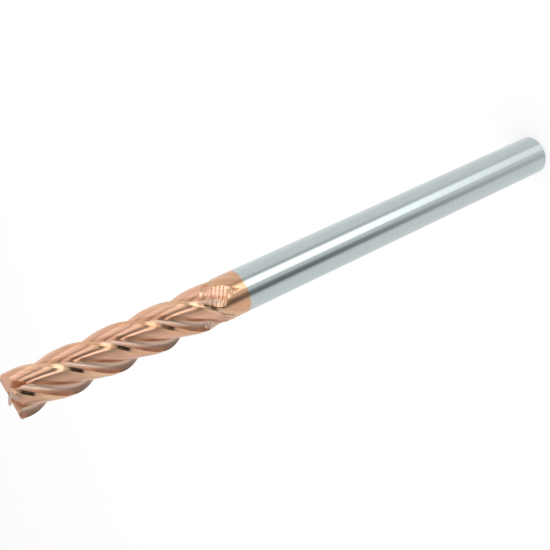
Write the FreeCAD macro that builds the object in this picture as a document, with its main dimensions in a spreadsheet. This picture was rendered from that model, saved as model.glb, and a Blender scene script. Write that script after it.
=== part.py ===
# Four-flute corner radius end mill, ground from one carbide rod.
#
# The tool stands on its shank end: +Z runs from the shank to the cutting end, and the origin is the
# centre of the shank's end face. At the very tip the cutting edge of the first tooth lies along +X,
# and the teeth lead towards +Y, so the tool cuts right-handed. The shapes come in the order in which
# a grinder makes them: the blank, the relief behind each land, the flutes with the run-out of the
# grinding wheel, the end relief and the end gashes.

import FreeCAD, Part
import math
import os
import Sketcher

# Driving sizes in millimetres and degrees: name, number, meaning
SIZES = [
    ("overall_length", 150, "shank end to tip"),
    ("tool_diameter", 10, "shank and cutting end alike"),
    ("shank_chamfer", 0.5, "at the shank end, 45 degrees"),
    ("corner_radius", 1, "between the side and the end of the cutting end"),
    ("tooth_count", 4, "flutes and teeth"),
    ("helix_angle", 36.8, "right-hand helix, at the outside"),
    ("flute_length", 43.5, "tip to where the flute wheel starts to lift"),
    ("land_length", 50, "tip to the end of the relief behind the lands"),
    ("core_diameter", 6.2, "between the bottoms of opposite flutes"),
    ("rake_lean", 12, "rake face leans back from the radius, measured across the helix"),
    ("gullet_radius", 1.05, "hollow in front of the rake face"),
    ("gullet_turn", 30, "arc of the hollow past the bottom of the flute, up to the ridge"),
    ("back_radius", 4.8, "rounded back of the flute, from the ridge up to the heel of the land ahead"),
    ("back_turn", 43, "arc of that back, up to beyond the heel"),
    ("wheel_radius", 42, "wheel that grinds the flutes"),
    ("edge_setback", 0.04, "cutting edge behind the start of the relief"),
    ("primary_width", 1.15, "relieved strip next to the cutting edge"),
    ("primary_angle", 10, "relief of that strip from the tangent"),
    ("secondary_angle", 27, "relief of the strip behind it"),
    ("end_primary_width", 0.9, "relieved strip along an end edge"),
    ("end_primary_angle", 8, "relief of that strip"),
    ("end_secondary_angle", 26, "relief of the end behind it"),
    ("dish_angle", 1.5, "end edges fall towards the centre"),
    ("gash_depth", 1, "end gash at the centre of the tool"),
    ("gash_angle", 38, "slope of the gash down into the flute"),
    ("gash_opening", 45, "far side of the gash from its upright side"),
    ("cutter_margin", 1, "grinding passes beyond the blank"),
]

# Sizes worked out from the sheet, as expressions
RADIUS = "(Sizes.tool_diameter / 2)"
CORE = "(Sizes.core_diameter / 2)"
TIP = "Sizes.overall_length"
LEAD = "(pi * Sizes.tool_diameter / tan(Sizes.helix_angle))"
OUTSIDE = f"({RADIUS} + Sizes.cutter_margin)"

FULL_TURN = 360
WHEEL_PASS_ANGLE = 40


def value(owner, text):
    """The number that an expression gives, in millimetres or degrees."""
    result = owner.evalExpression(text)
    return getattr(result, "Value", result)


def make_sizes(doc):
    sheet = doc.addObject("Spreadsheet::Sheet", "Sizes")
    for row, (alias, number, meaning) in enumerate(SIZES, start=1):
        sheet.set(f"A{row}", meaning)
        sheet.set(f"B{row}", str(number))
        sheet.setAlias(f"B{row}", alias)
    doc.recompute()
    return sheet


def origin_feature(body, role):
    return next(part for part in body.Origin.OriginFeatures if part.Role == role)


def make_sketch(body, name, role, offset=("0", "0", "0"), turns=("0", "0", "0")):
    """A sketch on an origin plane of the body.

    offset is in the plane's own frame, whose Z axis is its normal. turns are turns about that
    frame's Z, Y and X axes, one after another, each about the axis as the turns before left it.
    """
    sketch = body.newObject("Sketcher::SketchObject", name)
    sketch.AttachmentSupport = (origin_feature(body, role), [""])
    sketch.MapMode = "FlatFace"
    placed = f"placement(vector({'; '.join(offset)}); rotation({'; '.join(turns)}))"
    sketch.setExpression("AttachmentOffset", placed)
    return sketch


def fix_size(sketch, constraint, name, text):
    """Add a constraint whose size follows an expression."""
    number = sketch.addConstraint(constraint)
    sketch.renameConstraint(number, name)
    sketch.setExpression(f"Constraints.{name}", text)


def fix_point(sketch, index, end, place, name):
    """Hold one end of an edge at the place that two expressions give."""
    for axis, text in zip("XY", place):
        distance = Sketcher.Constraint(f"Distance{axis}", -1, 1, index, end, value(sketch, text))
        fix_size(sketch, distance, name + axis, text)


def arc_between(start, end, radius):
    """Arc from start to end that bulges to the right of the way, or to the left below radius 0."""
    chord = end.sub(start)
    middle = start.add(end).multiply(0.5)
    side = FreeCAD.Vector(chord.y, -chord.x, 0).normalize()
    half = chord.Length / 2
    rise = radius - math.copysign((radius * radius - half * half) ** 0.5, radius)
    return Part.Arc(start, middle.add(side.multiply(rise)), end)


def make_outline(sketch, corners):
    """A closed outline through corners: the name, the place and the edge that leaves it.

    The edge is None for a line, or the radius of an arc as an expression. The radius of an arc that
    bulges to the left of the way is below 0.
    """
    points = []
    for _, place, _ in corners:
        points.append(FreeCAD.Vector(value(sketch, place[0]), value(sketch, place[1]), 0))
    ends = points[1:] + points[:1]
    for start, end, (_, _, radius) in zip(points, ends, corners):
        if radius is None:
            sketch.addGeometry(Part.LineSegment(start, end), False)
        else:
            sketch.addGeometry(arc_between(start, end, value(sketch, radius)), False)
    # An arc is kept anticlockwise, so one that bulges to the left has its ends the other way round
    starts = [1 if radius is None or value(sketch, radius) > 0 else 2 for _, _, radius in corners]
    for index, (name, place, radius) in enumerate(corners):
        following = (index + 1) % len(corners)
        joint = Sketcher.Constraint("Coincident", index, 3 - starts[index], following, starts[following])
        sketch.addConstraint(joint)
        fix_point(sketch, index, starts[index], place, name)
        if radius is not None:
            bend = Sketcher.Constraint("Radius", index, abs(value(sketch, radius)))
            fix_size(sketch, bend, name + "Bend", f"abs({radius})")


def make_blank(body):
    """The round rod with its shank chamfer and the corner radius of the cutting end."""
    sketch = make_sketch(body, "BlankProfile", "XZ_Plane")
    make_outline(
        sketch,
        [
            ("Foot", ("0", "0"), None),
            ("FootRim", (f"{RADIUS} - Sizes.shank_chamfer", "0"), None),
            ("Shank", (RADIUS, "Sizes.shank_chamfer"), None),
            ("CornerLow", (RADIUS, f"{TIP} - Sizes.corner_radius"), "Sizes.corner_radius"),
            ("CornerHigh", (f"{RADIUS} - Sizes.corner_radius", TIP), None),
            ("Centre", ("0", TIP), None),
        ],
    )
    blank = body.newObject("PartDesign::Revolution", "Blank")
    blank.Profile = sketch
    blank.ReferenceAxis = (sketch, ["V_Axis"])
    blank.Angle = FULL_TURN
    return blank


def helix_pass(body, name, sketch, length):
    """A grinding pass that follows the helix from the sketch to beyond the tip."""
    helix = body.newObject("PartDesign::SubtractiveHelix", name)
    helix.Profile = sketch
    helix.ReferenceAxis = (origin_feature(body, "Z_Axis"), [""])
    helix.Mode = "pitch-height-angle"
    helix.Angle = 0
    helix.LeftHanded = False
    helix.setExpression("Pitch", LEAD)
    helix.setExpression("Height", f"{length} + 2 * Sizes.cutter_margin")
    return helix


def phase(length):
    """Turn of the first cutting edge at this length behind the tip."""
    return f"(-{FULL_TURN} * {length} / {LEAD})"


def make_land_relief(body):
    """Two flat strips behind each cutting edge, the second steeper than the first."""
    sketch = make_sketch(
        body,
        "LandReliefProfile",
        "XY_Plane",
        ("0", "0", f"{TIP} - Sizes.land_length"),
        (phase("Sizes.land_length"), "0", "0"),
    )
    ahead_x = f"({RADIUS} + Sizes.cutter_margin * sin(Sizes.primary_angle))"
    ahead_y = "(Sizes.cutter_margin * cos(Sizes.primary_angle))"
    step_x = f"({RADIUS} - Sizes.primary_width * sin(Sizes.primary_angle))"
    step_y = "(-Sizes.primary_width * cos(Sizes.primary_angle))"
    end_x = f"({step_x} - {RADIUS} * sin(Sizes.secondary_angle))"
    end_y = f"({step_y} - {RADIUS} * cos(Sizes.secondary_angle))"
    make_outline(
        sketch,
        [
            ("Ahead", (ahead_x, ahead_y), None),
            ("Step", (step_x, step_y), None),
            ("End", (end_x, end_y), None),
            ("Outside", (OUTSIDE, f"-{OUTSIDE}"), None),
            ("Front", (f"{OUTSIDE} + Sizes.cutter_margin", ahead_y), None),
        ],
    )
    return helix_pass(body, "LandRelief", sketch, "Sizes.land_length")


def flute_sketch(body, name):
    """The flute wheel's section, across the helix where the wheel starts to lift.

    The sketch's X axis points out of the tool through the deepest line of the flute, and its Y axis
    lies across the helix, towards the rake face. The rake face runs down into a narrow hollow, and
    behind a ridge the rounded back of the tooth ahead climbs to its heel.
    """
    gullet = "Sizes.gullet_radius"
    lean = "Sizes.rake_lean"
    rake_x = f"({CORE} + {gullet} * (1 - sin({lean})))"
    rake_y = f"({gullet} * cos({lean}))"
    edge_y = f"({rake_y} + ({RADIUS} - {rake_x}) * tan({lean}))"
    mouth_y = f"({rake_y} + ({OUTSIDE} - {rake_x}) * tan({lean}))"
    ridge = "Sizes.gullet_turn"
    ridge_x = f"({CORE} + {gullet} * (1 - cos({ridge})))"
    ridge_y = f"(-{gullet} * sin({ridge}))"
    back = "Sizes.back_radius"
    heel = f"({ridge} - Sizes.back_turn)"
    heel_x = f"({ridge_x} + {back} * (cos({heel}) - cos({ridge})))"
    heel_y = f"({ridge_y} + {back} * (sin({heel}) - sin({ridge})))"
    rake_turn = f"atan({edge_y} * cos(Sizes.helix_angle) / {RADIUS})"
    rake_climb = f"{edge_y} * sin(Sizes.helix_angle)"
    setback_climb = "Sizes.edge_setback / tan(Sizes.helix_angle)"
    climb_turn = f"{FULL_TURN} deg * ({rake_climb} - {setback_climb}) / {LEAD}"
    sketch = make_sketch(
        body,
        name,
        "XZ_Plane",
        ("0", f"{TIP} - Sizes.flute_length", "0"),
        (
            "0",
            f"{rake_turn} + {climb_turn} + 1 deg * {phase('Sizes.flute_length')}",
            "90 - Sizes.helix_angle",
        ),
    )
    make_outline(
        sketch,
        [
            ("Mouth", (OUTSIDE, mouth_y), None),
            ("Rake", (rake_x, rake_y), gullet),
            ("Ridge", (ridge_x, ridge_y), f"-{back}"),
            ("Heel", (heel_x, heel_y), None),
            ("Outside", (OUTSIDE, heel_y), None),
        ],
    )
    return sketch


def make_flute(body):
    sketch = flute_sketch(body, "FluteProfile")
    return helix_pass(body, "Flute", sketch, "Sizes.flute_length")


def make_run_out(body):
    """Where the flute wheel lifts, its own round form stays in the tool."""
    sketch = flute_sketch(body, "RunOutProfile")
    centre = f"{CORE} + Sizes.wheel_radius"
    foot = FreeCAD.Vector(value(sketch, centre), 0, 0)
    head = foot.add(FreeCAD.Vector(0, value(sketch, RADIUS), 0))
    axis = sketch.addGeometry(Part.LineSegment(foot, head), True)
    fix_point(sketch, axis, 1, (centre, "0"), "WheelCentre")
    sketch.addConstraint(Sketcher.Constraint("Vertical", axis))
    fix_size(sketch, Sketcher.Constraint("Distance", axis, head.y), "WheelAxis", RADIUS)
    groove = body.newObject("PartDesign::Groove", "RunOut")
    groove.Profile = sketch
    groove.ReferenceAxis = (sketch, ["Axis0"])
    groove.Angle = WHEEL_PASS_ANGLE
    return groove


def end_pass(body, name, sketch):
    """A straight grinding pass at the tip, from the sketch on the tool's axis outwards."""
    pocket = body.newObject("PartDesign::Pocket", name)
    pocket.Profile = sketch
    pocket.Reversed = True
    pocket.setExpression("Length", f"2 * {OUTSIDE}")
    return pocket


def make_end_relief(body):
    """Two flats behind each end edge, which falls a little towards the centre."""
    edge = f"{TIP} - ({RADIUS} - Sizes.corner_radius) * tan(Sizes.dish_angle)"
    sketch = make_sketch(
        body, "EndReliefProfile", "YZ_Plane", ("0", edge, "0"), ("0", "0", "-Sizes.dish_angle")
    )
    drop = "Sizes.end_primary_width * tan(Sizes.end_primary_angle)"
    run = f"({OUTSIDE} - Sizes.end_primary_width)"
    make_outline(
        sketch,
        [
            ("Edge", ("0", "0"), None),
            ("Above", ("0", OUTSIDE), None),
            ("FarAbove", (f"-{OUTSIDE}", OUTSIDE), None),
            ("Far", (f"-{OUTSIDE}", f"-({drop} + {run} * tan(Sizes.end_secondary_angle))"), None),
            ("Step", ("-Sizes.end_primary_width", f"-{drop}"), None),
        ],
    )
    return end_pass(body, "EndRelief", sketch)


def make_gash(body):
    """Notch in front of each end edge, which runs from the centre down into the flute."""
    sketch = make_sketch(
        body,
        "GashProfile",
        "YZ_Plane",
        ("0", f"{TIP} - Sizes.gash_depth", "0"),
        ("0", "0", "Sizes.gash_angle"),
    )
    height = f"2 * {OUTSIDE}"
    make_outline(
        sketch,
        [
            ("Bottom", ("-Sizes.edge_setback", "0"), None),
            ("Far", (f"{height} * tan(Sizes.gash_opening)", height), None),
            ("Upright", ("-Sizes.edge_setback", height), None),
        ],
    )
    return end_pass(body, "Gash", sketch)


def repeat_round(body, name, features):
    pattern = body.newObject("PartDesign::PolarPattern", name)
    pattern.Originals = features
    pattern.Axis = (origin_feature(body, "Z_Axis"), [""])
    pattern.Angle = FULL_TURN
    pattern.setExpression("Occurrences", "Sizes.tooth_count")
    body.Tip = pattern


def grind(body, make):
    """Make one pass and see that it takes material away."""
    before = body.Shape.Volume
    feature = make(body)
    body.Document.recompute()
    if body.Shape.Volume >= before:
        raise ValueError(f"{feature.Label} removed nothing")
    return feature


def make_end_mill(doc):
    body = doc.addObject("PartDesign::Body", "EndMill")
    body.Label = "end_mill"
    make_blank(body)
    doc.recompute()
    side = [grind(body, make) for make in (make_land_relief, make_flute, make_run_out)]
    repeat_round(body, "Flutes", side)
    doc.recompute()
    end = [grind(body, make) for make in (make_end_relief, make_gash)]
    repeat_round(body, "EndTeeth", end)
    return body


def check(doc, parts):
    for item in doc.Objects:
        if "Invalid" in item.State or "Error" in item.State:
            raise ValueError(f"{item.Label} failed: {item.State}")
    for part in parts:
        if part.Shape.isNull() or not part.Shape.isValid() or len(part.Shape.Solids) != 1:
            raise ValueError(f"{part.Label} is not one valid solid")


def main():
    doc = FreeCAD.newDocument("end_mill")
    make_sizes(doc)
    parts = [make_end_mill(doc)]
    doc.recompute()
    check(doc, parts)
    os.makedirs("parts", exist_ok=True)
    for part in parts:
        part.Shape.exportStep(f"parts/{part.Label}.step")


main()
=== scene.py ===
import math

import bpy
from mathutils import Matrix, Vector


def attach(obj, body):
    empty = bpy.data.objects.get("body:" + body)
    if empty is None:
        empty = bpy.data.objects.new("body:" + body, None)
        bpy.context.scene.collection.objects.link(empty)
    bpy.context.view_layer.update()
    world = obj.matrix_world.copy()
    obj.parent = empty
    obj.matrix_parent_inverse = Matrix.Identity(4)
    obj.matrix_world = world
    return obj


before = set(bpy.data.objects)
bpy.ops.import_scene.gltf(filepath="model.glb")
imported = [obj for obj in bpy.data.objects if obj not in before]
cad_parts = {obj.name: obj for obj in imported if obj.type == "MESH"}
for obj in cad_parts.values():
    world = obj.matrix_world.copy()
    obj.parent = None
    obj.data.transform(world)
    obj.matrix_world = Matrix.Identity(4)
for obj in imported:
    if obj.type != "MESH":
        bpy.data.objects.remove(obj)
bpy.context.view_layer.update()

MM = 0.001
OVERALL_LENGTH = 150 * MM
TOOL_RADIUS = 5 * MM
TOOTH_COUNT = 4
TOOTH_SPACING = 2 * math.pi / TOOTH_COUNT
HELIX_ANGLE = math.radians(36.8)
HELIX_CLIMB = math.tan(HELIX_ANGLE) / TOOL_RADIUS  # turn of the helix for each metre along the tool

# The flute wheel's section and where it lifts, as ground
LIFT_START = 106.5 * MM  # above the shank end
WHEEL_RADIUS = 42 * MM
CORE_RADIUS = 3.1 * MM
HOLLOW_RADIUS = 1.05 * MM
HOLLOW_END = math.radians(30)
BACK_RADIUS = 4.8 * MM
BACK_TURN = math.radians(43)
RAKE_LEAN = math.radians(12)
EDGE_SETBACK = 0.04 * MM
RAKE_FOOT = (CORE_RADIUS + HOLLOW_RADIUS * (1 - math.sin(RAKE_LEAN)),
             HOLLOW_RADIUS * math.cos(RAKE_LEAN))
RAKE_STEPS, RAKE_STEP = 24, 0.06 * MM
HOLLOW_STEPS, RIDGE_STEPS, BACK_STEPS = 26, 8, 48
HEEL_STEPS, HEEL_STEP, HEEL_DROP = 30, 0.08 * MM, 0.001 * MM

# The ribs across a run-out
RIB_PITCH = 0.87 * MM
RIB_HEIGHT = 0.1 * MM
RIBS_GROWN = 1.6 * MM  # full height this far along
RIBBED_FROM = 0.6 * MM  # past the place where the wheel starts to lift
COVE_GROWN = 2.2 * MM
COVE_DEPTH = 0.36  # share of the hollow's own depth
FLOOR_LIFT = 0.03 * MM  # clear of the facets of the hollow
RIM_RADIUS = 4.985 * MM
SHALLOWEST = 0.02 * MM  # the ribs stop where the run-out is no deeper than this
NARROWEST = 0.5 * MM  # and no wider than this
ACROSS = 36
ROW_PITCH = 0.06 * MM
MOST_ROWS = 240

# The finish
COATING_EDGE = 95.6 * MM  # the coating ends here, above the shank end
COATING_FADE = (-0.05 * MM, 0.25 * MM)
COATING_WANDER = 0.2 * MM
EDGE_PHASE = OVERALL_LENGTH * HELIX_CLIMB / TOOTH_SPACING % 1
BEHIND_EDGE = 0.04  # share of the section that still counts as rake, just behind the cutting edge
HOLLOW_TO_RIDGE = (0.24, 0.31)  # shares of the section
RIDGE_TO_BACK = (0.42, 0.5)
FLUTE_TO_LAND = (4.6 * MM, 4.92 * MM)  # from the axis
# Grit lines are about 0.01 mm apart on the real tool: drawn this far apart so that they show
FLUTE_LINE_PITCH = 0.16 * MM
RING_PITCH = 0.2 * MM
CLOUD_SIZE = 2.2 * MM
SHANK_ROUGHNESS, FILM_ROUGHNESS, HOLLOW_ROUGHNESS = 0.13, 0.14, 0.42

# The camera, worked out from the outline of the tool in the photograph
IMAGE_SIDE = 550  # pixels
FOCAL_PIXELS = 943
SENSOR = 36  # millimetres
CAMERA_FROM_AXIS = 190.9 * MM
CAMERA_ABOVE_TIP = 32.8 * MM
CAMERA_DROP = math.radians(27)  # centre ray below the level
CAMERA_AZIMUTH = math.radians(-22)  # round the tool
TOOL_LEAN = math.radians(25)  # shank end points up to the right in the image
AIM_SHIFT = 0.15 * MM  # the tool lies a little above the middle of the image

# Brightness round the tool, as (degrees from the camera's side, brightness), positive anticlockwise
# seen from above, in bands by the height that a reflection looks to: the shank and neck show the
# first two, the lands the third and the backs of the flutes the others.
FOOT_BAND = [(-180, 0.95), (-145, 0.8), (-56, 0.76), (-44, 0.62), (-28, 0.6), (-18, 0.7), (-4, 0.72),
             (4, 0.93), (34, 0.95), (44, 0.72), (100, 0.78), (145, 0.9), (180, 0.95)]
SHANK_BAND = [(-180, 0.95), (-145, 0.8), (-58, 0.76), (-50, 0.62), (-42, 0.16), (-28, 0.2), (-19, 0.62),
              (-4, 0.7), (4, 1.7), (32, 1.8), (40, 0.9), (45, 0.5), (51, 0.5), (58, 0.74), (100, 0.78),
              (145, 0.9), (180, 0.95)]
LAND_BAND = [(-180, 0.95), (-150, 0.72), (-95, 0.85), (-70, 0.8), (-46, 0.6), (-38, 0.02), (-6, 0.02),
             (4, 0.5), (13, 0.7), (18, 1.7), (38, 1.7), (48, 0.8), (82, 0.85), (95, 0.95), (145, 0.9),
             (180, 0.95)]
BACK_BAND = [(-180, 0.6), (-160, 0.5), (-145, 0.35), (-118, 0.38), (-104, 0.66), (-74, 0.68), (-58, 0.6),
             (-44, 0.48), (-34, 0.42), (-28, 0.8), (-23, 1.5), (-13, 1.5), (-8, 0.4), (0, 0.35), (7, 0.6),
             (13, 0.8), (18, 1.15), (32, 1.15), (36, 0.45), (41, 0.45), (46, 1.1), (54, 0.9), (66, 1.2),
             (80, 0.8), (100, 0.72), (120, 0.95), (145, 0.8), (180, 0.6)]
HIGH_BAND = [(-180, 0.6), (-118, 0.4), (-104, 0.66), (-74, 0.6), (-58, 0.5), (-32, 0.3), (-27, 0.7),
             (-23, 1.8), (-18, 1.8), (-13, 0.4), (-6, 0.16), (0, 0.22), (5, 0.7), (14, 1.2), (22, 1.2),
             (28, 0.4), (34, 0.4), (41, 0.9), (54, 0.9), (64, 1.3), (80, 0.8), (100, 0.8), (180, 0.6)]
# Each band with the degrees above level where it begins and where it is fully reached
BANDS = [(SHANK_BAND, -48, -27), (LAND_BAND, -20, -12), (BACK_BAND, -3, 5), (HIGH_BAND, 6, 14)]
BRIGHTEST = 2.0
GROUND = 0.2  # brightness straight under the tool
GROUND_HEIGHTS = (-62, -46)
CEILING = 0.8
CEILING_HEIGHTS = (35, 55)


def linear(hex_colour):
    """An sRGB hex colour as linear red, green, blue and alpha."""
    parts = [int(hex_colour[i:i + 2], 16) / 255 for i in (1, 3, 5)]
    bright = [p / 12.92 if p <= 0.04045 else ((p + 0.055) / 1.055) ** 2.4 for p in parts]
    return (*bright, 1)


def grey(brightness):
    """A brightness of the studio as a colour for a background of strength BRIGHTEST."""
    return (*[brightness / BRIGHTEST] * 3, 1)


def add(tree, kind, inputs=None, output=0, **settings):
    """Add a node with its settings and give one of its outputs.

    An input is a value, or the output socket that feeds it.
    """
    node = tree.nodes.new(kind)
    for name, setting in settings.items():
        setattr(node, name, setting)
    for name, given in (inputs or {}).items():
        if isinstance(given, bpy.types.NodeSocket):
            tree.links.new(given, node.inputs[name])
        else:
            node.inputs[name].default_value = given
    return node.outputs[output] if node.outputs else None


def fade(low, high, start=0, end=1):
    """Inputs of a map range node that goes from start at low to end at high."""
    return {"From Min": low, "From Max": high, "To Min": start, "To Max": end}


def empty_tree(owner):
    owner.use_nodes = True
    owner.node_tree.nodes.clear()
    return owner.node_tree


def add_mesh(name, points, faces, material, smooth=False):
    mesh = bpy.data.meshes.new(name)
    mesh.from_pydata(points, [], faces)
    mesh.polygons.foreach_set("use_smooth", [smooth] * len(faces))
    mesh.materials.append(material)
    made = bpy.data.objects.new(name, mesh)
    bpy.context.scene.collection.objects.link(made)
    return made


def make_finish():
    """Tungsten carbide ground with a fine diamond wheel, then coated over the cutting end.

    Bare carbide is a cool light grey metal. Round grinding on the shank leaves fine rings, so its
    reflections stay in straight streaks and blur a little along the tool. The coating is a thin
    nitride film of a copper colour: it keeps the grinding lines of the flutes, is palest on the
    lands, and blurs in the hollow, which is ground coarser. Across the flute its colour holds
    painted light in the hollow and painted shade along the ridge.
    """
    material = bpy.data.materials.new("ground carbide with copper-coloured nitride coating")
    tree = empty_tree(material)
    place = add(tree, "ShaderNodeTexCoord", output="Object")
    z = add(tree, "ShaderNodeSeparateXYZ", {0: place}, "Z")
    flat = add(tree, "ShaderNodeVectorMath", {0: place, 1: (1, 1, 0)}, operation="MULTIPLY")
    radius = add(tree, "ShaderNodeVectorMath", {0: flat}, "Value", operation="LENGTH")

    # The edge of the coating wanders a little round the tool
    drift = add(tree, "ShaderNodeTexNoise", {"Vector": place, "Scale": 1 / (3 * MM), "Detail": 1})
    edge = add(tree, "ShaderNodeMath", {0: drift, 1: COATING_WANDER, 2: z}, operation="MULTIPLY_ADD")
    coated = add(tree, "ShaderNodeMapRange",
                 {"Value": edge, **fade(*[COATING_EDGE + end for end in COATING_FADE])},
                 interpolation_type="SMOOTHSTEP")

    # Unwound along the helix, so that a flute and its grinding lines stand still
    stretched = add(tree, "ShaderNodeVectorMath", {0: place, 1: (1, 1, 0.03)}, operation="MULTIPLY")
    unwind = add(tree, "ShaderNodeMath", {0: z, 1: -HELIX_CLIMB}, operation="MULTIPLY")
    across = add(tree, "ShaderNodeVectorRotate", {"Vector": stretched, "Angle": unwind},
                 rotation_type="Z_AXIS")
    flute_lines = add(tree, "ShaderNodeTexNoise",
                      {"Vector": across, "Scale": 1 / FLUTE_LINE_PITCH, "Detail": 3,
                       "Roughness": 0.6})
    rings = add(tree, "ShaderNodeVectorMath", {0: place, 1: (0.05, 0.05, 1)}, operation="MULTIPLY")
    ring_lines = add(tree, "ShaderNodeTexNoise",
                     {"Vector": rings, "Scale": 1 / RING_PITCH, "Detail": 3, "Roughness": 0.6})

    # Place round the section, 0 to 1 from one cutting edge to the next, the same along a flute
    across_x = add(tree, "ShaderNodeSeparateXYZ", {0: across}, "X")
    across_y = add(tree, "ShaderNodeSeparateXYZ", {0: across}, "Y")
    angle = add(tree, "ShaderNodeMath", {0: across_y, 1: across_x}, operation="ARCTAN2")
    whole = add(tree, "ShaderNodeMath", {0: angle, 1: 1 / TOOTH_SPACING, 2: EDGE_PHASE + BEHIND_EDGE},
                operation="MULTIPLY_ADD")
    part = add(tree, "ShaderNodeMath", {0: whole}, operation="FRACT")
    section = add(tree, "ShaderNodeMath", {0: part, 1: BEHIND_EDGE}, operation="SUBTRACT")
    in_flute = add(tree, "ShaderNodeMapRange", {"Value": radius, **fade(*FLUTE_TO_LAND, 1, 0)},
                   interpolation_type="SMOOTHSTEP")
    past_hollow = add(tree, "ShaderNodeMapRange", {"Value": section, **fade(*HOLLOW_TO_RIDGE)},
                      interpolation_type="SMOOTHSTEP")
    # Where the painted shade along the ridge gives way to the back
    past_painted_ridge_shade = add(tree, "ShaderNodeMapRange", {"Value": section, **fade(*RIDGE_TO_BACK)},
                     interpolation_type="SMOOTHSTEP")

    # The film's colour across the flute is painted light and shade: pale in the hollow as painted
    # light, brown along the ridge between the hollow and the rounded back as painted shade. It is pale
    # on the lands, and clouds a few millimetres wide tint the lands at random.
    cloud = add(tree, "ShaderNodeTexNoise", {"Vector": across, "Scale": 1 / CLOUD_SIZE, "Detail": 2})
    clouded = add(tree, "ShaderNodeMapRange", {"Value": cloud, **fade(0.35, 0.65)},
                  interpolation_type="SMOOTHSTEP")
    land_film = add(tree, "ShaderNodeMix", {0: clouded, 6: linear("#F4CBA8"), 7: linear("#ECBB97")}, 2,
                    data_type="RGBA")
    # D2A083 is painted shade: a dark brown stripe along the ridge
    back_film_with_painted_shade = add(tree, "ShaderNodeMix", {0: past_painted_ridge_shade, 6: linear("#D2A083"), 7: linear("#F0C0A4")}, 2,
                    data_type="RGBA")
    # EBCFBB is the hollow painted paler, as painted light
    flute_film_with_painted_light_and_shade = add(tree, "ShaderNodeMix", {0: past_hollow, 6: linear("#EBCFBB"), 7: back_film_with_painted_shade}, 2,
                     data_type="RGBA")
    film = add(tree, "ShaderNodeMix", {0: in_flute, 6: land_film, 7: flute_film_with_painted_light_and_shade}, 2, data_type="RGBA")
    scored = add(tree, "ShaderNodeMapRange", {"Value": flute_lines, **fade(0.3, 0.7)},
                 interpolation_type="SMOOTHSTEP")
    film = add(tree, "ShaderNodeMix", {0: scored, 6: film, 7: linear("#F0E6E0")}, 2, data_type="RGBA",
               blend_type="MULTIPLY")
    bare = add(tree, "ShaderNodeMix", {0: ring_lines, 6: linear("#C4CFD0"), 7: linear("#DEE8E9")}, 2,
               data_type="RGBA")
    colour = add(tree, "ShaderNodeMix", {0: coated, 6: bare, 7: film}, 2, data_type="RGBA")

    # Softened edges, then the grinding lines as relief
    soft = add(tree, "ShaderNodeBevel", {"Radius": 0.06 * MM}, samples=4)
    lines = add(tree, "ShaderNodeMix", {0: coated, 2: ring_lines, 3: flute_lines}, data_type="FLOAT")
    relief = add(tree, "ShaderNodeBump",
                 {"Strength": 0.14, "Distance": 0.004 * MM, "Height": lines, "Normal": soft})

    out_of_hollow = add(tree, "ShaderNodeMath", {0: 1.0, 1: past_hollow}, operation="SUBTRACT")
    in_hollow = add(tree, "ShaderNodeMath", {0: in_flute, 1: out_of_hollow}, operation="MULTIPLY")
    film_roughness = add(tree, "ShaderNodeMapRange",
                         {"Value": in_hollow, **fade(0, 1, FILM_ROUGHNESS, HOLLOW_ROUGHNESS)},
                         interpolation_type="SMOOTHSTEP")
    roughness = add(tree, "ShaderNodeMix", {0: coated, 2: SHANK_ROUGHNESS, 3: film_roughness},
                    data_type="FLOAT")
    surface = add(tree, "ShaderNodeBsdfPrincipled",
                  {"Base Color": colour, "Metallic": 1.0, "Roughness": roughness, "Normal": relief})
    add(tree, "ShaderNodeOutputMaterial", {"Surface": surface})
    return material


def flute_section():
    """Points down the rake, through the hollow, up the rounded back and out past the heel."""
    rake_x, rake_y = RAKE_FOOT
    points = []
    for step in range(RAKE_STEPS, 0, -1):
        rise = step * RAKE_STEP
        points.append((rake_x + rise, rake_y + rise * math.tan(RAKE_LEAN)))
    start = math.pi / 2 - RAKE_LEAN
    turns = [start * (1 - step / HOLLOW_STEPS) for step in range(HOLLOW_STEPS + 1)]
    turns += [-HOLLOW_END * step / RIDGE_STEPS for step in range(1, RIDGE_STEPS + 1)]
    for turn in turns:
        points.append((CORE_RADIUS + HOLLOW_RADIUS * (1 - math.cos(turn)),
                       HOLLOW_RADIUS * math.sin(turn)))
    ridge_x, ridge_y = points[-1]
    for step in range(1, BACK_STEPS + 1):
        turn = HOLLOW_END - BACK_TURN * step / BACK_STEPS
        points.append((ridge_x + BACK_RADIUS * (math.cos(turn) - math.cos(HOLLOW_END)),
                       ridge_y + BACK_RADIUS * (math.sin(turn) - math.sin(HOLLOW_END))))
    heel_x, heel_y = points[-1]
    for step in range(1, HEEL_STEPS + 1):
        points.append((heel_x + step * HEEL_STEP, heel_y - step * HEEL_DROP))
    return points


def lifted(x, y, turn):
    """A point of the wheel's section once the wheel has gone on by turn about its own axis."""
    reach = CORE_RADIUS + WHEEL_RADIUS - x
    along = reach * math.sin(turn)
    return Vector((CORE_RADIUS + WHEEL_RADIUS - reach * math.cos(turn),
                   -y * math.cos(HELIX_ANGLE) - along * math.sin(HELIX_ANGLE),
                   y * math.sin(HELIX_ANGLE) - along * math.cos(HELIX_ANGLE) + LIFT_START))


def on_section(points, place):
    """The point of the section at place, counted in points with a fraction."""
    index = min(int(place), len(points) - 2)
    share = place - index
    (x0, y0), (x1, y1) = points[index], points[index + 1]
    return x0 + (x1 - x0) * share, y0 + (y1 - y0) * share


def rim_place(points, inside, outside, turn):
    """Where along its section the wheel, at this turn, crosses the outside of the tool."""
    for _ in range(22):
        middle = (inside + outside) / 2
        if lifted(*on_section(points, middle), turn).xy.length < RIM_RADIUS:
            inside = middle
        else:
            outside = middle
    return inside


def depth_at(points, y):
    """The section's own depth at this place across it."""
    for (x0, y0), (x1, y1) in zip(points, points[1:]):
        if y1 <= y <= y0:
            return x0 + (x1 - x0) * (y0 - y) / max(y0 - y1, 1e-9)
    return points[0][0] if y > points[0][1] else points[-1][0]


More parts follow.
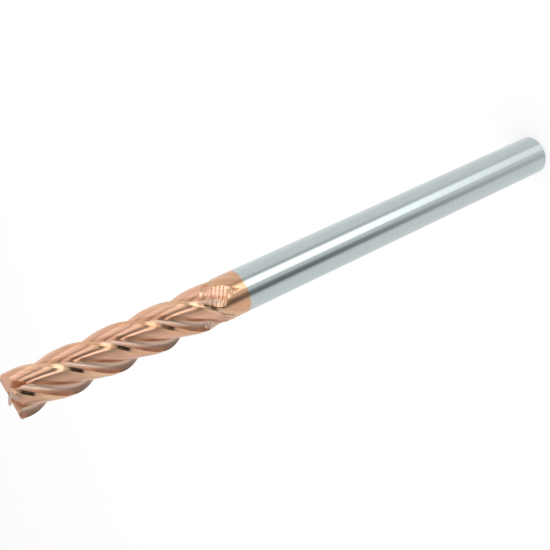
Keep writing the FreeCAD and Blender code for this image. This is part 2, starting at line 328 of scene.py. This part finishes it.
def rib_row(points, turn, gone):
    """One row across the run-out, rim to rim; gone is how far along the flute it lies."""
    depths = [lifted(x, y, turn).xy.length for x, y in points]
    lowest = depths.index(min(depths))
    if depths[lowest] > RIM_RADIUS - SHALLOWEST:
        return None
    near = rim_place(points, lowest, 0, turn)
    far = rim_place(points, lowest, len(points) - 1, turn)
    near_x, near_y = on_section(points, near)
    far_x, far_y = on_section(points, far)
    if near_y - far_y < NARROWEST:
        return None
    # The worn corner of the wheel leaves this floor shallower than the hollow, in a gentle cove
    cove = min(1, gone / COVE_GROWN)
    deepest = min(near_x, far_x) - min(x for x, y in points)
    wave = (1 - math.cos(2 * math.pi * gone / RIB_PITCH)) / 2 * min(1, gone / RIBS_GROWN)
    proud = FLOOR_LIFT * min(1, gone / (0.5 * MM)) + RIB_HEIGHT * wave
    row = []
    for step in range(ACROSS + 1):
        share = step / ACROSS
        x, y = on_section(points, near + (far - near) * share)
        y += (near_y + (far_y - near_y) * share - y) * cove
        level = near_x + (far_x - near_x) * share - COVE_DEPTH * deepest * 4 * share * (1 - share)
        x += (max(level, depth_at(points, y)) - x) * cove
        x += proud * min(1, 6 * min(share, 1 - share))
        row.append(lifted(x, y, turn))
    return row


def add_run_out_ribs(finish):
    """The ribs that the lifting wheel leaves across the end of each flute, on the run-out's own form."""
    rake_x, rake_y = RAKE_FOOT
    edge_y = rake_y + (TOOL_RADIUS - rake_x) * math.tan(RAKE_LEAN)
    climb = edge_y * math.sin(HELIX_ANGLE) - EDGE_SETBACK / math.tan(HELIX_ANGLE)
    first_turn = math.atan(edge_y * math.cos(HELIX_ANGLE) / TOOL_RADIUS)
    first_turn += (climb - (OVERALL_LENGTH - LIFT_START)) * HELIX_CLIMB
    section = flute_section()
    rows = []
    for step in range(MOST_ROWS):
        gone = step * ROW_PITCH
        row = rib_row(section, (RIBBED_FROM + gone) / WHEEL_RADIUS, gone)
        if row is None:
            break
        rows.append(row)
    points, faces = [], []
    for tooth in range(TOOTH_COUNT):
        base = len(points)
        spin = Matrix.Rotation(first_turn + tooth * TOOTH_SPACING, 4, "Z")
        points += [spin @ point for row in rows for point in row]
        for i in range(len(rows) - 1):
            for j in range(ACROSS):
                corner = base + i * (ACROSS + 1) + j
                faces.append((corner, corner + 1, corner + ACROSS + 2, corner + ACROSS + 1))
    ribs = add_mesh("run_out_ribs", points, faces, finish, smooth=True)
    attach(ribs, "root")


def make_studio():
    """Strip lights and dark cards round the tool for polished metal, and an even light for the rest."""
    world = bpy.data.worlds.new("studio")
    bpy.context.scene.world = world
    tree = empty_tree(world)
    way = add(tree, "ShaderNodeTexCoord", output="Generated")
    # Turned so that the camera's side lies along X
    turned = add(tree, "ShaderNodeVectorRotate", {"Vector": way, "Angle": math.pi / 2 - CAMERA_AZIMUTH},
                 rotation_type="Z_AXIS")
    ahead = add(tree, "ShaderNodeSeparateXYZ", {0: turned}, "X")
    side = add(tree, "ShaderNodeSeparateXYZ", {0: turned}, "Y")
    height = add(tree, "ShaderNodeSeparateXYZ", {0: turned}, "Z")
    turn = add(tree, "ShaderNodeMath", {0: side, 1: ahead}, operation="ARCTAN2")
    round_tool = add(tree, "ShaderNodeMath", {0: turn, 1: 1 / (2 * math.pi), 2: 0.5},
                     operation="MULTIPLY_ADD")
    studio = None
    for stops, begins, full in [(FOOT_BAND, None, None), *BANDS]:
        band = add(tree, "ShaderNodeValToRGB", {"Fac": round_tool})
        elements = band.node.color_ramp.elements
        elements.remove(elements[1])
        for index, (degrees, brightness) in enumerate(stops):
            stop = elements.new(degrees / 360 + 0.5) if index else elements[0]
            stop.position = degrees / 360 + 0.5
            stop.color = grey(brightness)
        if studio is None:
            studio = band
            continue
        share = add(tree, "ShaderNodeMapRange",
                    {"Value": height, **fade(*[math.sin(math.radians(h)) for h in (begins, full)])},
                    interpolation_type="SMOOTHSTEP")
        studio = add(tree, "ShaderNodeMix", {0: share, 6: studio, 7: band}, 2, data_type="RGBA")
    low, high = [math.sin(math.radians(h)) for h in GROUND_HEIGHTS]
    off_ground = add(tree, "ShaderNodeMapRange", {"Value": height, **fade(low, high)},
                     interpolation_type="SMOOTHSTEP")
    studio = add(tree, "ShaderNodeMix", {0: off_ground, 6: grey(GROUND), 7: studio}, 2, data_type="RGBA")
    low, high = [math.sin(math.radians(h)) for h in CEILING_HEIGHTS]
    ceiling = add(tree, "ShaderNodeMapRange", {"Value": height, **fade(low, high)},
                  interpolation_type="SMOOTHSTEP")
    studio = add(tree, "ShaderNodeMix", {0: ceiling, 6: studio, 7: grey(CEILING)}, 2, data_type="RGBA")
    seen = add(tree, "ShaderNodeBackground", {"Color": studio, "Strength": BRIGHTEST})
    even = add(tree, "ShaderNodeBackground", {"Color": linear("#FFFFFF"), "Strength": 1.0})
    glossy = add(tree, "ShaderNodeLightPath", output="Is Glossy Ray")
    both = add(tree, "ShaderNodeMixShader", {0: glossy, 1: even, 2: seen})
    add(tree, "ShaderNodeOutputWorld", {"Surface": both})


def make_floor():
    """A wide matt white sweep under the tool. Glossy rays pass it and see the studio."""
    material = bpy.data.materials.new("matt white paper")
    tree = empty_tree(material)
    paper = add(tree, "ShaderNodeBsdfDiffuse", {"Color": linear("#F3F3F3")})
    glow = add(tree, "ShaderNodeEmission", {"Color": linear("#FFFFFF"), "Strength": 1.0})
    camera_ray = add(tree, "ShaderNodeLightPath", output="Is Camera Ray")
    # Most of what the camera sees is plain white, and the rest holds the tool's shadow
    share = add(tree, "ShaderNodeMath", {0: camera_ray, 1: 0.7}, operation="MULTIPLY")
    both = add(tree, "ShaderNodeMixShader", {0: share, 1: paper, 2: glow})
    add(tree, "ShaderNodeOutputMaterial", {"Surface": both})
    reach = 4.0
    corners = [(-reach, -reach, 0), (reach, -reach, 0), (reach, reach, 0), (-reach, reach, 0)]
    floor = add_mesh("floor", corners, [(0, 1, 2, 3)], material)
    floor.visible_glossy = False


def add_soft_box():
    """A large square lamp high behind the tool, for the shadow on the floor alone."""
    data = bpy.data.lights.new("overhead soft box", "AREA")
    data.energy = 1.6
    data.size = 0.6
    lamp = bpy.data.objects.new("overhead soft box", data)
    bpy.context.scene.collection.objects.link(lamp)
    place, aim = Vector((-0.25, 0.1, 0.7)), Vector((0, 0, 0.05))
    lamp.location = place
    lamp.rotation_euler = (aim - place).to_track_quat("-Z", "Y").to_euler()
    lamp.visible_glossy = False
    lamp.visible_camera = False


def add_camera():
    away = Vector((math.sin(CAMERA_AZIMUTH), -math.cos(CAMERA_AZIMUTH), 0))
    place = away * CAMERA_FROM_AXIS + Vector((0, 0, OVERALL_LENGTH + CAMERA_ABOVE_TIP))
    forward = -away * math.cos(CAMERA_DROP) - Vector((0, 0, math.sin(CAMERA_DROP)))
    along = Vector((0, 0, -1)) - forward * forward.dot(Vector((0, 0, -1)))
    along.normalize()
    across = (-forward).cross(along)
    right = along * math.cos(TOOL_LEAN) - across * math.sin(TOOL_LEAN)
    up = along * math.sin(TOOL_LEAN) + across * math.cos(TOOL_LEAN)
    place = place - across * AIM_SHIFT
    data = bpy.data.cameras.new("camera")
    data.sensor_width = SENSOR
    data.lens = FOCAL_PIXELS * SENSOR / IMAGE_SIDE
    data.clip_start = 0.01
    camera = bpy.data.objects.new("camera", data)
    bpy.context.scene.collection.objects.link(camera)
    camera.matrix_world = Matrix.Translation(place) @ Matrix((right, up, -forward)).transposed().to_4x4()
    bpy.context.scene.camera = camera


finish = make_finish()
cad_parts["end_mill"].material_slots[0].material = finish
add_run_out_ribs(finish)
make_studio()
make_floor()
add_soft_box()
add_camera()

bpy.context.scene.view_settings.view_transform = "Standard"
